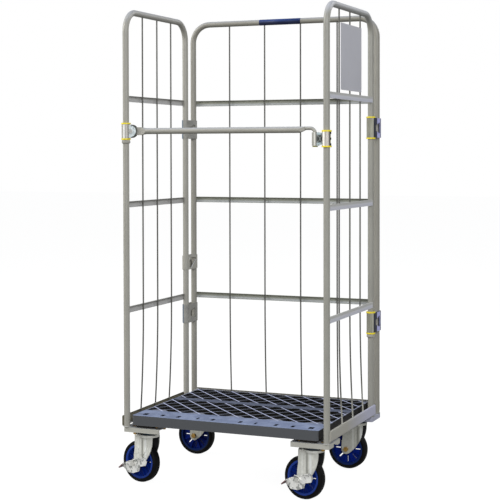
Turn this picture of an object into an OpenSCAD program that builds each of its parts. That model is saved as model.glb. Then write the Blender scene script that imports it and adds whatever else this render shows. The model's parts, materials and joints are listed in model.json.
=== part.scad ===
// Roll cage container with an L frame, one hinged side, a lift-up deck and four swivel casters.
// Units are millimetres. +X is to the right, the open front faces -Y, +Z is up.
// The origin is on the floor, under the centre of the container's box.

/* [Overall] */
// height of the container from the floor to the top of the tubes
overall_h = 1700; // [1300:10:1900]
// distance from the centre plane to the tubes of each side panel
side_x = 377.5; // [300:0.5:500]
// distance between the two tubes of a side panel
side_depth = 493; // [400:1:700]
// distance from the rear tube of a side panel to the back panel
back_gap = 74.5; // [60:0.5:120]

/* [Panels] */
// outside diameter of the frame tube
tube_d = 22; // [18:0.5:28]
// wall of the frame tube
tube_wall = 1.6; // [1:0.1:2.5]
// centreline radius of the bent top corners
corner_r = 70; // [45:1:110]
// height of the tube feet above the floor
foot_z = 207.7; // [180:0.1:260]
// distance from the top tube's centre to the first cross bar's centre
bar_drop = 309; // [200:1:400]
// distance between cross bars
bar_pitch = 378; // [300:1:420]
// height of a cross bar
bar_h = 21.5; // [15:0.5:30]
// depth of a cross bar
bar_depth = 6.5; // [4:0.1:7]
// sheet thickness of a cross bar
bar_wall = 1.5; // [1:0.1:2.5]
// diameter of the upright rods
rod_d = 5.5; // [4:0.1:7]
// distance between the rods of a side panel
side_rod_pitch = 117.3; // [90:0.1:150]
// distance between the rods of the back panel
back_rod_pitch = 147.6; // [110:0.1:170]
// height of the bottom rails
rail_h = 38; // [28:0.5:45]
// depth of the bottom rails
rail_depth = 5.5; // [5:0.1:7.5]
// sheet thickness of the bottom rails
rail_wall = 1.8; // [1.2:0.1:2.2]
// height of the back and right rails above the tube feet
rail_up = 7.8; // [4:0.1:12]
// how much lower the left rail sits
left_rail_drop = 4.5; // [0:0.1:6]
// how far a bottom rail runs past the tube centres
rail_over = 7; // [4:0.5:14]
// corner radius of a bottom rail's section
rail_corner = 5; // [3:0.5:5]

/* [Hinges and ties] */
// height of the upper hinge sleeve's centre
hinge_hi_z = 1277.5; // [1200:0.5:1330]
// height of the lower hinge sleeve's centre
hinge_lo_z = 557.5; // [470:0.5:580]
// length of a hinge sleeve without its bush flanges
hinge_h = 72; // [50:1:90]
// wall of the sheet that wraps a bush
sleeve_wall = 2; // [1.5:0.1:3]
// wall of a plastic bush
bush_wall = 2.4; // [1.5:0.1:4]
// thickness of a bush flange
bush_flange_h = 5; // [3:0.5:8]
// radius of a bush flange
bush_flange_r = 17; // [16:0.25:20]
// height of a tie bracket between the left and back panels
tie_h = 72; // [50:1:90]
// length of the window in a hinge or tie cheek
cheek_window_l = 47; // [16:0.5:50]
// height of a cheek's window at its end near the side panel
cheek_window_near = 20; // [8:1:40]
// height of a cheek's window at its end near the back panel
cheek_window_far = 42; // [10:1:50]
// height of the loop link between the left and back panels
link_h = 54; // [40:1:70]
// height of the loop link's centre
link_z = 757; // [700:1:820]
// sheet thickness of the ties
tie_wall = 2.6; // [1.5:0.1:4]

/* [Gate bar] */
// height of the gate bar's centre line
gate_z = 1263.5; // [1230:0.5:1300]
// diameter of the gate bar
gate_d = 21.6; // [16:0.2:26]
// wall of the gate bar
gate_wall = 1.6; // [1:0.1:2.5]
// distance from the left tube to the gate bar's pivot
gate_pivot_in = 22.5; // [21:0.5:35]
// height of the gate bar's flattened end
gate_flat_h = 28; // [20:0.5:32]
// thickness of the gate bar's flattened end
gate_flat_t = 6; // [4:0.2:8]
// diameter of the bent rod at the gate bar's right end
hook_d = 12; // [8:0.2:14]
// distance from the right tube to the bent rod
hook_in = 41; // [35:0.5:60]
// centreline radius of the rod's bend
hook_bend_r = 17; // [12:0.5:24]
// how far the rod reaches down below the gate bar's centre
hook_drop = 53; // [40:0.5:70]
// length of the gate bar's sleeve without its bush flanges
gate_sleeve_l = 50; // [44:1:60]
// radius of the round pivot cheeks
cheek_r = 23.5; // [16:0.5:25]
// thickness of a pivot cheek
cheek_t = 3; // [2:0.1:4]
// diameter of the gate bar's pivot bolt
pivot_bolt_d = 8; // [6:0.5:10]
// length of the catch sleeve without its bush flanges
catch_h = 47; // [40:1:60]
// inside width of the catch socket
socket_w = 17; // [13:0.5:20]

/* [Deck] */
// distance from the side panels' tube centres to the deck's side edges
deck_side_gap = 25.5; // [22:0.5:40]
// height of the deck's top above the floor
deck_top_z = 253; // [245:0.5:265]
// thickness of the deck
deck_t = 35; // [25:0.5:36]
// how far the deck's front edge stands ahead of the front tubes
deck_ahead = 13; // [0:0.5:30]
// distance from the deck's rear edge to the back panel's tubes
deck_behind = 17.5; // [14:0.5:40]
// thickness of the deck's edge walls
deck_edge = 6; // [3:0.5:10]
// width of a lattice rib
rib_w = 5; // [3:0.5:10]
// thickness of the skin over the deck's closed bands
deck_skin = 4; // [2:0.5:8]
// depth of the closed band along the deck's front edge
front_band = 108; // [80:1:150]
// width of the closed band between the two lattices
middle_band = 42; // [20:1:60]
// distance between the lattice's rib crossings
lattice_pitch = 74.5; // [60:0.5:90]
// distance from the front band to the first row of rib crossings
front_row = 14.5; // [10:0.5:30]
// distance from the middle band to the rear lattice's first row of rib crossings
rear_row = 17.8; // [10:0.1:30]
// height of the solid webs that fill every other crossing along the bands
web_h = 24; // [10:1:30]
// width of a slot in the front band
slot_w = 12; // [6:0.5:24]
// width of the two outer slots
wide_slot_w = 19; // [6:0.5:26]
// length of a slot in the front band
slot_l = 26; // [12:0.5:40]
// distance from the deck's front edge to the middle of the slots
slot_in = 37; // [30:0.5:60]
// diameter of the deck's hinge pins
deck_pin_d = 10; // [6:0.5:12]
// gap between the deck and its rest pads
pad_clear = 0.3; // [0.1:0.1:1]

/* [Caster brackets] */
// length of a caster bracket across the container
bracket_l = 140; // [134:1:160]
// height of a caster bracket
bracket_h = 17; // [14:0.5:22]
// sheet thickness of a caster bracket
bracket_wall = 3; // [2:0.1:4]
// corner radius of a caster bracket
bracket_r = 6; // [4:0.5:12]
// how far a bracket's outer end stands beyond the side tubes' centres
bracket_out = 10.5; // [6:0.5:12]
// depth of a front caster bracket
front_bracket_d = 118; // [95:1:140]
// distance from a front bracket's front edge to the notch in its outer flange
notch_in = 49; // [30:1:60]
// length of the notch
notch_l = 40; // [20:1:50]
// height of the notch
notch_h = 11; // [5:0.5:13]

/* [Casters] */
// wheel diameter
wheel_d = 150; // [120:1:160]
// tyre width
tyre_w = 34; // [30:1:44]
// outside diameter of the wheel's moulded core
core_d = 122; // [95:1:135]
// distance from the swivel axis to the axle
trail = 37; // [20:1:45]
// distance from the side tubes to the swivel axes
swivel_in = 63.5; // [55:0.5:80]
// axle diameter
axle_d = 12; // [8:0.5:14]
// thickness of the fork's sheet
fork_t = 3.5; // [3:0.1:5]
// radius of the round dish of the fork's crown
crown_r = 36; // [32:0.5:37]
// outside bend radius between the fork's crown and its legs
crown_bend = 9; // [5:0.5:14]
// distance from a caster bracket's lower edge down to the fork's crown
crown_drop = 13; // [8:0.5:16]
// radius of the bearing race above the crown
race_r = 27; // [22:0.5:34]
// gap between the wheel's hub and each leg of the fork
hub_gap = 1; // [0.5:0.1:3]
// width of a radial slot in the wheel core
core_slot_w = 5.4; // [2:0.2:6]
// turn of the front forks at rest
front_turn = -11.5; // [-30:0.5:30]
// turn of the rear forks at rest
rear_turn = -3; // [-30:0.5:30]
// thickness of a brake pedal's plate
pedal_t = 3; // [2:0.1:4]
// distance from the middle of the wheel to the brake pedal's plate
pedal_off = 43; // [34:0.5:46]

/* [Card plate] */
// side of the square card plate
card_side = 230; // [150:1:260]
// distance from the top tube's centre down to the card plate's centre
card_drop = 171.5; // [130:0.5:190]
// thickness of the card plate
card_t = 1.5; // [1:0.1:3]

/* [Hidden] */
$fn = 48;
seat = 0.15;              // gap between pieces that are welded or seated
run_fit = 0.05;           // radial clearance of a running fit
eps = 0.01;
tube_r = tube_d / 2;
rod_r = rod_d / 2;
top_z = overall_h - tube_r;
rail_in = tube_r + seat;                // where a rail starts, outward of the tubes
rail_out = rail_in + rail_depth;
// the box reaches from the bush flanges or the deck in front to the rail at the back
front_y = (max(bush_flange_r, deck_ahead) - side_depth - back_gap - rail_out) / 2;
rear_y = front_y + side_depth;
back_y = rear_y + back_gap;
side_mid_y = (front_y + rear_y) / 2;
tyre_round = 9;           // how far a tyre's tread rounds off at each side
// the casters point to -X at rest, so the panels stand a little to the right of the origin
function reach(turn) = (trail + wheel_d / 2) * cos(turn) + (tyre_w / 2 - tyre_round) * sin(abs(turn));
wheels_left = side_x - swivel_in + max(reach(front_turn), reach(rear_turn));
mid_x = (wheels_left - side_x - rail_out) / 2;
left_x = mid_x - side_x;
right_x = mid_x + side_x;
bar_z = [for (i = [0:2]) top_z - bar_drop - i * bar_pitch];
bar_in = rod_r + seat;                  // where a bar's flanges start, outward of the rods
rail_z = foot_z + rail_up;
rod_end_z = rail_z + rail_h / 2;
rod_out = rail_out - rail_wall - rod_r - seat;  // how far a rod leans out at the rail's web
rod_bend_h = bar_z[2] - rod_end_z;
rod_bend_r = (pow(rod_bend_h, 2) + pow(rod_out, 2)) / (2 * rod_out);
rod_bend_a = asin(rod_bend_h / rod_bend_r);
bush_in = tube_r + run_fit;
bush_out = bush_in + bush_wall;
sleeve_in = bush_out + run_fit;
sleeve_out = sleeve_in + sleeve_wall;
tie_in = tube_r + seat;
tie_out = tie_in + tie_wall;
collar_out = tube_r + 4.2;
collar_h = 13;
collar_round = 3.8;
// gate bar and catch
gate_pivot_x = left_x + gate_pivot_in;
gate_r = gate_d / 2;
hook_r = hook_d / 2;
hook_x = right_x - hook_in;
hook_z = gate_z + gate_r - hook_r;
hook_low = gate_z - hook_drop;
gate_end_x = hook_x - hook_bend_r - 40;
gate_nose_r = gate_pivot_in - sleeve_out - 0.5;
cheek_in = gate_flat_t / 2 + 0.3;
catch_top = hook_low + catch_h - 1;
socket_wall = 2;
socket_stop = hook_r + 4.2;             // from the rod's centre to the socket's back wall
liner_h = 4;
// deck
deck_front = front_y - deck_ahead;
deck_rear = back_y - deck_behind;
deck_low = deck_top_z - deck_t;
deck_w = 2 * (side_x - deck_side_gap);
deck_in_w = deck_w - 2 * deck_edge;
slot_x = [52, 112, 185, 247, 314];      // middles of the slots on each side of the deck's centre
lattice_rear = deck_rear - deck_edge;
lattice_front = deck_front + front_band;
lattice_mid = lattice_front + 3 * lattice_pitch;
lattice_mid2 = lattice_mid + middle_band;
deck_pin_y = deck_rear - 10;
deck_pin_z = deck_top_z - 10;
deck_boss_r = deck_pin_d / 2 + 4.4;
deck_boss_l = 14;
lug_t = 5;
lug_h = 22;
lug_nose = 9;                           // how far a lug runs ahead of the deck's pins
lug_x = deck_w / 2 + 4;
// caster brackets
foot_gap = 0.2;                         // between a tube's foot and its bracket
swing_gap = 0.3;                        // how much higher the swinging panel's tubes stand
bracket_top = foot_z - foot_gap;
bracket_low = bracket_top - bracket_h;
pad_h = deck_low - pad_clear - bracket_top;
bracket_x = side_x + bracket_out - bracket_l / 2;
front_bracket_y = front_y - 8 + front_bracket_d / 2;
rear_bracket_d = back_gap + 2 * (tube_r + 4);
rear_bracket_y = (rear_y + back_y) / 2;
// casters
caster_plate_t = 6;
caster_top = bracket_top - bracket_wall;
swivel_x = side_x - swivel_in;
bolt_dx = 43;
bolt_dy = 30;
bolt_r = 4;
bolt_head_r = 7.2;
nut_h = 7;
pad_in = 6;                             // how far the deck's pads sit inboard of the swivels
pad_l = 2 * (bolt_dx - bolt_head_r - pad_in - 0.8);
axle_r = axle_d / 2;
axle_z = wheel_d / 2;
fork_top = bracket_low - crown_drop;
crown_t = 5;
crown_skirt = 9;
leg_left = -trail - 13.5;               // where the legs' straight edges meet the crown
hub_w = tyre_w + 3;
leg_in = hub_w / 2 + hub_gap;
leg_out = leg_in + fork_t;
rib_out = 1.4;
pin_r = 8;
core_r = core_d / 2;
pedal_in = leg_out + rib_out + 0.5;
head_h = 7;

corners = [
  [mid_x - swivel_x, front_bracket_y, front_turn],
  [mid_x + swivel_x, front_bracket_y, front_turn],
  [mid_x - swivel_x, rear_bracket_y, rear_turn],
  [mid_x + swivel_x, rear_bracket_y, rear_turn]
];

// ---------- shapes that several pieces share ----------

module ring(r_out, r_in, h) {
  linear_extrude(h)
    difference() {
      circle(r_out);
      circle(r_in);
    }
}

module along_x(h) {
  rotate([90, 0, 90])
    linear_extrude(h)
      children();
}

// a flat shape drawn in X and Z, centred on y = 0
module upright_plate(t) {
  translate([0, t / 2, 0])
    rotate([90, 0, 0])
      linear_extrude(t)
        children();
}

module rounded(l, d, r) {
  square([l - 2 * r, d], center = true);
  square([l, d - 2 * r], center = true);
  for (sx = [-1, 1], sy = [-1, 1])
    translate([sx * (l / 2 - r), sy * (d / 2 - r)])
      circle(r);
}

// ---------- the three panels, each drawn in X and Z with +Y outward ----------

module on_left() {
  translate([left_x, side_mid_y, 0])
    rotate([0, 0, 90])
      children();
}

module on_right() {
  translate([right_x, side_mid_y, 0])
    rotate([0, 0, -90])
      children();
}

module on_back() {
  translate([mid_x, back_y, 0])
    children();
}

module centred() {
  translate([mid_x, 0, 0])
    children();
}

module panel_corner(start) {
  rotate([90, 0, 0])
    rotate([0, 0, start])
      rotate_extrude(angle = 90)
        translate([corner_r, 0])
          difference() {
            circle(tube_r);
            circle(tube_r - tube_wall);
          }
}

module panel_tube(span, foot) {
  for (s = [-1, 1])
    translate([s * span / 2, 0, foot])
      ring(tube_r, tube_r - tube_wall, top_z - corner_r - foot);
  translate([span / 2 - corner_r, 0, top_z - corner_r])
    panel_corner(0);
  translate([-span / 2 + corner_r, 0, top_z - corner_r])
    panel_corner(90);
  translate([-span / 2 + corner_r, 0, top_z])
    rotate([0, 90, 0])
      ring(tube_r, tube_r - tube_wall, span - 2 * corner_r);
}

// a pressed channel that opens towards the inside of the container
module bar_section() {
  difference() {
    translate([bar_in, -bar_h / 2])
      square([bar_depth, bar_h]);
    translate([bar_in - eps, -bar_h / 2 + bar_wall])
      square([bar_depth - bar_wall + eps, bar_h - 2 * bar_wall]);
  }
}

module panel_bars(span) {
  for (z = bar_z)
    difference() {
      translate([-span / 2, 0, z])
        along_x(span)
          bar_section();
      for (s = [-1, 1])
        translate([s * span / 2, 0, z - bar_h])
          cylinder(r = tube_r + seat, h = 2 * bar_h);
    }
}

function rod_places(n, pitch) = [for (i = [0:n - 1]) (i - (n - 1) / 2) * pitch];

// a straight rod that leans out below the lowest bar to meet the web of the bottom rail
module panel_rods(n, pitch) {
  for (x = rod_places(n, pitch))
    translate([x, 0, 0]) {
      translate([0, 0, bar_z[2]])
        cylinder(r = rod_r, h = top_z - tube_r - seat - bar_z[2]);
      translate([0, rod_bend_r, bar_z[2]])
        rotate([0, 90, 0])
          rotate([0, 0, -90])
            rotate_extrude(angle = rod_bend_a)
              translate([rod_bend_r, 0])
                circle(rod_r);
    }
}

// a channel that opens towards the inside, with rounded outer corners
module rail_section(inset) {
  intersection() {
    union() {
      translate([rail_in - eps, inset])
        square([rail_depth - rail_corner + eps, rail_h - 2 * inset]);
      translate([rail_in - eps, rail_corner])
        square([rail_depth - inset + eps, rail_h - 2 * rail_corner]);
      for (z = [rail_corner, rail_h - rail_corner])
        translate([rail_out - rail_corner, z])
          circle(rail_corner - inset);
    }
    translate([rail_in - (inset > 0 ? eps : 0), 0])
      square([rail_depth + 1, rail_h]);
  }
}

// closed at both ends, with a slot in its upper flange for every rod
module panel_rail(span, z, n, pitch) {
  l = span + 2 * rail_over;
  translate([-l / 2, 0, z])
    difference() {
      along_x(l)
        rail_section(0);
      translate([rail_wall, 0, 0])
        along_x(l - 2 * rail_wall)
          rail_section(rail_wall);
      for (x = rod_places(n, pitch))
        translate([l / 2 + x - rod_r - seat, rail_in - 1, rail_h / 2])
          cube([2 * (rod_r + seat), rod_out + rod_r + seat - rail_in + 1, rail_h]);
    }
}

// ---------- back panel ----------

module back_frame_tube() color("#a8a79c")
  on_back()
    panel_tube(2 * side_x, foot_z);

module back_cross_bars() color("#a8a79c")
  on_back()
    panel_bars(2 * side_x);

module back_rods() color("#a8a79c")
  on_back()
    panel_rods(4, back_rod_pitch);

module back_bottom_rail() color("#a8a79c")
  on_back()
    panel_rail(2 * side_x, rail_z, 4, back_rod_pitch);

// ---------- left panel ----------

module left_frame_tube() color("#a8a79c")
  on_left()
    panel_tube(side_depth, foot_z);

module left_cross_bars() color("#a8a79c")
  on_left()
    panel_bars(side_depth);

module left_rods() color("#a8a79c")
  on_left()
    panel_rods(3, side_rod_pitch);

module left_bottom_rail() color("#a8a79c")
  on_left()
    panel_rail(side_depth, rail_z - left_rail_drop, 3, side_rod_pitch);

// a four-sided window in Y and Z, wider at the end near the back panel
module cheek_window() {
  polygon([
    [-cheek_window_l / 2, -cheek_window_near / 2],
    [cheek_window_l / 2, -cheek_window_far / 2],
    [cheek_window_l / 2, cheek_window_far / 2],
    [-cheek_window_l / 2, cheek_window_near / 2]
  ]);
}

// a four-sided window in Y and Z whose slanted lower edge rises to the back panel
module link_window() {
  l = cheek_window_l + 13;
  h = link_h - 16;
  polygon([
    [-l / 2, -h / 2],
    [-l / 4, -h / 2],
    [l / 2, h / 4],
    [l / 2, h / 2],
    [-l / 2, h / 2]
  ]);
}

// a strap of sheet that wraps two upright tubes; its child is the window in each side
module strap(h, r_in, far_in, r_out) {
  difference() {
    linear_extrude(h)
      difference() {
        union() {
          circle(r_out);
          translate([0, back_gap])
            circle(r_out);
          translate([-r_out, 0])
            square([2 * r_out, back_gap]);
        }
        circle(r_in);
        translate([0, back_gap])
          circle(far_in);
        translate([-r_in, 0])
          square([2 * r_in, back_gap / 2]);
        translate([-far_in, back_gap / 2 - eps])
          square([2 * far_in, back_gap / 2 + eps]);
      }
    translate([-r_out - 1, back_gap / 2, h / 2])
      along_x(2 * r_out + 2)
        children();
  }
}

module left_tie_brackets() color("#a3a297")
  for (z = [hinge_hi_z, hinge_lo_z])
    translate([left_x, rear_y, z - tie_h / 2])
      strap(tie_h, tie_in, tie_in, tie_out)
        cheek_window();

module left_loop_link() color("#a3a297")
  translate([left_x, rear_y, link_z - link_h / 2])
    strap(link_h, tie_in, tie_in, tie_out)
      link_window();

// ---------- right panel, which swings on its rear tube ----------

module right_frame_tube() color("#a8a79c")
  on_right()
    panel_tube(side_depth, foot_z + swing_gap);

module right_cross_bars() color("#b4b4ae")
  on_right()
    panel_bars(side_depth);

module right_rods() color("#a8a79c")
  on_right()
    panel_rods(3, side_rod_pitch);

module right_bottom_rail() color("#a8a79c")
  on_right()
    panel_rail(side_depth, rail_z, 3, side_rod_pitch);

module card_plate() color("#9a9ba3")
  translate([right_x + rod_r + seat, side_mid_y - card_side / 2 + 5, top_z - card_drop - card_side / 2])
    cube([card_t, card_side, card_side]);

// ---------- hinges of the right panel ----------

module hinge_straps() color("#c9ccd0")
  for (z = [hinge_hi_z, hinge_lo_z])
    translate([right_x, rear_y, z - hinge_h / 2])
      strap(hinge_h, sleeve_in, tie_in, sleeve_out)
        cheek_window();

// two flanged half bushes for a sleeve of length h that is centred on z = 0
module bush_pair(h) {
  for (s = [0, 1])
    mirror([0, 0, s])
      difference() {
        union() {
          cylinder(r = bush_out, h = h / 2 - eps);
          translate([0, 0, h / 2 + seat])
            cylinder(r = bush_flange_r, h = bush_flange_h);
          cylinder(r = bush_out, h = h / 2 + 1);
        }
        translate([0, 0, -1])
          cylinder(r = bush_in, h = h + bush_flange_h);
        translate([0, 0, -1])
          cylinder(r = bush_out + 1, h = 1.2);
      }
}

module hinge_bushes() color("#f5e040")
  for (z = [hinge_hi_z, hinge_lo_z])
    translate([right_x, rear_y, z])
      bush_pair(hinge_h);

// a collar with rounded edges
module collar() {
  rotate_extrude()
    difference() {
      translate([tube_r + seat, 0])
        union() {
          translate([0, collar_round])
            square([collar_out - tube_r - seat, collar_h - 2 * collar_round]);
          square([collar_out - tube_r - seat - collar_round, collar_h]);
          for (z = [collar_round, collar_h - collar_round])
            translate([collar_out - tube_r - seat - collar_round, z])
              circle(collar_round);
        }
      translate([0, -1])
        square([tube_r + seat, collar_h + 2]);
    }
}

// the collar under the lower hinge, which carries the panel's weight
module hinge_collar() color("#a8a79c")
  translate([right_x, rear_y, hinge_lo_z - hinge_h / 2 - bush_flange_h - seat - swing_gap - collar_h])
    collar();

// ---------- gate bar ----------

module gate_sleeve() color("#c9ccd0")
  translate([left_x, front_y, gate_z])
    difference() {
      union() {
        cylinder(r = sleeve_out, h = gate_sleeve_l, center = true);
        for (s = [-1, 1])
          translate([0, s * (cheek_in + cheek_t / 2), 0])
            upright_plate(cheek_t) {
              translate([gate_pivot_in, 0])
                circle(cheek_r);
              translate([0, -cheek_r])
                square([gate_pivot_in, 2 * cheek_r]);
            }
      }
      cylinder(r = sleeve_in, h = gate_sleeve_l + 2, center = true);
      translate([gate_pivot_in, 0, 0])
        rotate([90, 0, 0])
          cylinder(r = pivot_bolt_d / 2 + 0.1, h = 40, center = true);
    }

module gate_bushes() color("#f5e040")
  translate([left_x, front_y, gate_z])
    bush_pair(gate_sleeve_l);

module gate_stop_collar() color("#a8a79c")
  translate([left_x, front_y, gate_z - gate_sleeve_l / 2 - bush_flange_h - seat - swing_gap - collar_h])
    collar();

module gate_pivot_bolt() color("#d8dadd")
  translate([gate_pivot_x, front_y, gate_z])
    rotate([90, 0, 0]) {
      l = 2 * (cheek_in + cheek_t) + 0.2;
      cylinder(r = pivot_bolt_d / 2, h = l, center = true);
      for (s = [-1, 1])
        translate([0, 0, s * (l / 2 + 1.5)])
          cylinder(r = 8, h = 3, center = true);
    }

// tube, flattened pivot end and squeezed right end that carries the bent rod
module gate_bar() color("#a8a79c")
  translate([0, front_y, 0])
    difference() {
      union() {
        translate([gate_pivot_x, 0, gate_z])
          upright_plate(gate_flat_t) {
            circle(gate_nose_r);
            polygon([
              [0, -gate_nose_r],
              [18, -gate_flat_h / 2],
              [46, -gate_flat_h / 2],
              [46, gate_flat_h / 2],
              [18, gate_flat_h / 2],
              [0, gate_nose_r]
            ]);
          }
        translate([gate_pivot_x + 38, 0, gate_z])
          intersection() {
            rotate([0, 90, 0])
              cylinder(r1 = gate_flat_h / 2, r2 = gate_r, h = 22);
            linear_extrude(gate_flat_h + 2, center = true)
              polygon([
                [0, -gate_flat_t / 2],
                [22, -gate_r],
                [22, gate_r],
                [0, gate_flat_t / 2]
              ]);
          }
        translate([gate_pivot_x + 60, 0, gate_z])
          rotate([0, 90, 0])
            cylinder(r = gate_r, h = gate_end_x - gate_pivot_x - 60);
        translate([gate_end_x, 0, gate_z])
          intersection() {
            rotate([0, 90, 0])
              cylinder(r = gate_r, h = 22);
            linear_extrude(2 * gate_d, center = true)
              polygon([
                [0, -gate_r],
                [22, -hook_r - 0.5],
                [22, hook_r + 0.5],
                [0, gate_r]
              ]);
            upright_plate(2 * gate_d)
              polygon([
                [0, -gate_r],
                [22, gate_r - hook_d],
                [22, gate_r],
                [0, gate_r]
              ]);
          }
        translate([gate_end_x + 18, 0, hook_z])
          rotate([0, 90, 0])
            cylinder(r = hook_r, h = hook_x - hook_bend_r - gate_end_x - 18);
        translate([hook_x - hook_bend_r, 0, hook_z - hook_bend_r])
          rotate([90, 0, 0])
            rotate_extrude(angle = 90)
              translate([hook_bend_r, 0])
                circle(hook_r);
        translate([hook_x, 0, hook_low])
          cylinder(r = hook_r, h = hook_z - hook_bend_r - hook_low);
      }
      translate([gate_pivot_x + 64, 0, gate_z])
        rotate([0, 90, 0])
          cylinder(r = gate_r - gate_wall, h = gate_end_x - gate_pivot_x - 70);
      translate([gate_pivot_x, 0, gate_z])
        rotate([90, 0, 0])
          cylinder(r = pivot_bolt_d / 2 + run_fit, h = 40, center = true);
    }

// sleeve on the right front tube, with the upright socket that holds the bent rod
module catch_sleeve() color("#c9ccd0")
  translate([right_x, front_y, 0])
    difference() {
      union() {
        translate([0, 0, catch_top - catch_h])
          cylinder(r = sleeve_out, h = catch_h);
        translate([-hook_in + socket_stop, 0, catch_top - catch_h + 3])
          upright_plate(3)
            square([hook_in - socket_stop - sleeve_in, catch_h - 6]);
        translate([-hook_in, 0, catch_top - catch_h])
          linear_extrude(catch_h - 2)
            difference() {
              translate([-hook_r - 2, -socket_w / 2 - socket_wall])
                square([hook_r + 2 + socket_stop + socket_wall, socket_w + 2 * socket_wall]);
              translate([-hook_r - 3, -socket_w / 2])
                square([hook_r + 3 + socket_stop, socket_w]);
            }
      }
      translate([0, 0, catch_top - catch_h - 1])
        cylinder(r = sleeve_in, h = catch_h + 2);
      for (s = [-1, 1])
        translate([4, -4, catch_top - catch_h / 2 + s * 9.5 - 6])
          cube([sleeve_out, sleeve_out + 2, 12]);
    }

module catch_bushes() color("#f5e040")
  translate([right_x, front_y, catch_top - catch_h / 2])
    bush_pair(catch_h);

// plastic stop that closes the foot of the socket, below the rod's tip
module catch_liner() color("#8d8a10")
  translate([hook_x, front_y, catch_top - catch_h - seat - liner_h])
    cylinder(r = hook_r + 3, h = liner_h);

// ---------- deck ----------

// the windows between y0 and y1; a rib crossing lies on x = shift * lattice_pitch in row y = first
module lattice_windows(y0, y1, first, shift) {
  half = lattice_pitch / 2 - rib_w * sqrt(2) / 2;
  rows = ceil(2 * (y1 - first) / lattice_pitch);
  columns = ceil(deck_in_w / lattice_pitch / 2) + 1;
  intersection() {
    translate([-deck_in_w / 2, y0])
      square([deck_in_w, y1 - y0]);
    for (j = [-1:rows])
      for (i = [-columns:columns])
        translate([
          (i + shift + (abs(j + 1) % 2) / 2) * lattice_pitch,
          first + j * lattice_pitch / 2
        ])
          rotate(45)
            square(half * sqrt(2), center = true);
  }
}

// solid webs at every other rib crossing along the front band
module band_webs() {
  for (i = [-2:2])
    translate([i * 2 * lattice_pitch, lattice_front])
      polygon([
        [-lattice_pitch / 2, 0],
        [lattice_pitch / 2, 0],
        [lattice_pitch / 6, web_h],
        [-lattice_pitch / 6, web_h]
      ]);
}

module deck_outline() {
  translate([0, (deck_front + deck_rear) / 2])
    rounded(deck_w, deck_rear - deck_front, 9);
}

module band_slots() {
  for (x = slot_x, s = [-1, 1])
    translate([s * x, deck_front + slot_in])
      square([x == slot_x[4] ? wide_slot_w : slot_w, slot_l], center = true);
}

// a moulded lattice: edge walls and ribs at full depth, a thin skin over the closed bands
module deck() color("#7d84a0") centred() {
  band_y = [deck_front + deck_edge, lattice_front - rib_w];
  difference() {
    union() {
      translate([0, 0, deck_low])
        linear_extrude(deck_t)
          difference() {
            deck_outline();
            difference() {
              lattice_windows(lattice_front, lattice_mid, lattice_front + front_row, 0);
              band_webs();
            }
            lattice_windows(lattice_mid2, lattice_rear, lattice_mid2 + rear_row, 0.5);
            for (i = [0:5])
              translate([
                -deck_in_w / 2 + i * (deck_in_w + rib_w) / 6,
                band_y[0]
              ])
                square([(deck_in_w + rib_w) / 6 - rib_w, band_y[1] - band_y[0]]);
            translate([-deck_in_w / 2, lattice_mid + rib_w])
              square([deck_in_w, middle_band - 2 * rib_w]);
          }
      translate([0, 0, deck_top_z - deck_skin])
        linear_extrude(deck_skin)
          difference() {
            union() {
              translate([-deck_in_w / 2 - 1, band_y[0] - 1])
                square([deck_in_w + 2, band_y[1] - band_y[0] + 2]);
              translate([-deck_in_w / 2 - 1, lattice_mid + rib_w - 1])
                square([deck_in_w + 2, middle_band - 2 * rib_w + 2]);
            }
            band_slots();
          }
      for (s = [-1, 1])
        translate([s * (deck_w / 2 - deck_boss_l / 2), deck_pin_y, deck_pin_z])
          rotate([0, 90, 0])
            cylinder(r = deck_boss_r, h = deck_boss_l - 2, center = true);
    }
    for (s = [-1, 1])
      translate([s * (deck_w / 2 - deck_boss_l / 2), deck_pin_y, deck_pin_z])
        rotate([0, 90, 0])
          cylinder(r = deck_pin_d / 2 + run_fit, h = deck_boss_l + 2, center = true);
  }
}

// welded to the back panel's tubes, one at each end of the deck
module deck_lugs() color("#a3a297") centred()
  for (s = [-1, 1])
    difference() {
      union() {
        translate([s * (lug_x + lug_t / 2), (deck_pin_y - lug_nose + back_y) / 2, deck_pin_z - 2])
          cube([lug_t, back_y - deck_pin_y + lug_nose, lug_h], center = true);
        translate([s * (lug_x + side_x) / 2, back_y - lug_t / 2, deck_pin_z - 2])
          cube([side_x - lug_x, lug_t, lug_h], center = true);
      }
      translate([s * side_x, back_y, deck_pin_z])
        cylinder(r = tube_r + seat, h = 2 * lug_h, center = true);
      translate([s * lug_x, deck_pin_y, deck_pin_z])
        rotate([0, 90, 0])
          cylinder(r = deck_pin_d / 2 + seat, h = 30, center = true);
    }

module deck_pins() color("#c9ccd0") centred()
  for (s = [-1, 1])
    translate([s * (deck_w / 2 - deck_boss_l + 2), deck_pin_y, deck_pin_z])
      rotate([0, s * 90, 0]) {
        cylinder(r = deck_pin_d / 2, h = lug_x + lug_t - deck_w / 2 + deck_boss_l + 1);
        translate([0, 0, lug_x + lug_t - deck_w / 2 + deck_boss_l - 2 + 0.3])
          cylinder(r = deck_pin_d / 2 + 2, h = 2.5);
      }

module deck_pad(x, y) {
  translate([x, y, bracket_top])
    linear_extrude(pad_h)
      rounded(pad_l, 42, 4);
}

module deck_pads() color("#2b241d") {
  deck_pad(mid_x - swivel_x + pad_in, front_bracket_y - 26);
  for (s = [-1, 1])
    deck_pad(mid_x + s * (swivel_x - pad_in), rear_bracket_y - 26);
}

module right_deck_pad() color("#2b241d")
  deck_pad(mid_x + swivel_x - pad_in, front_bracket_y - 26);

// ---------- caster brackets ----------

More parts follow.
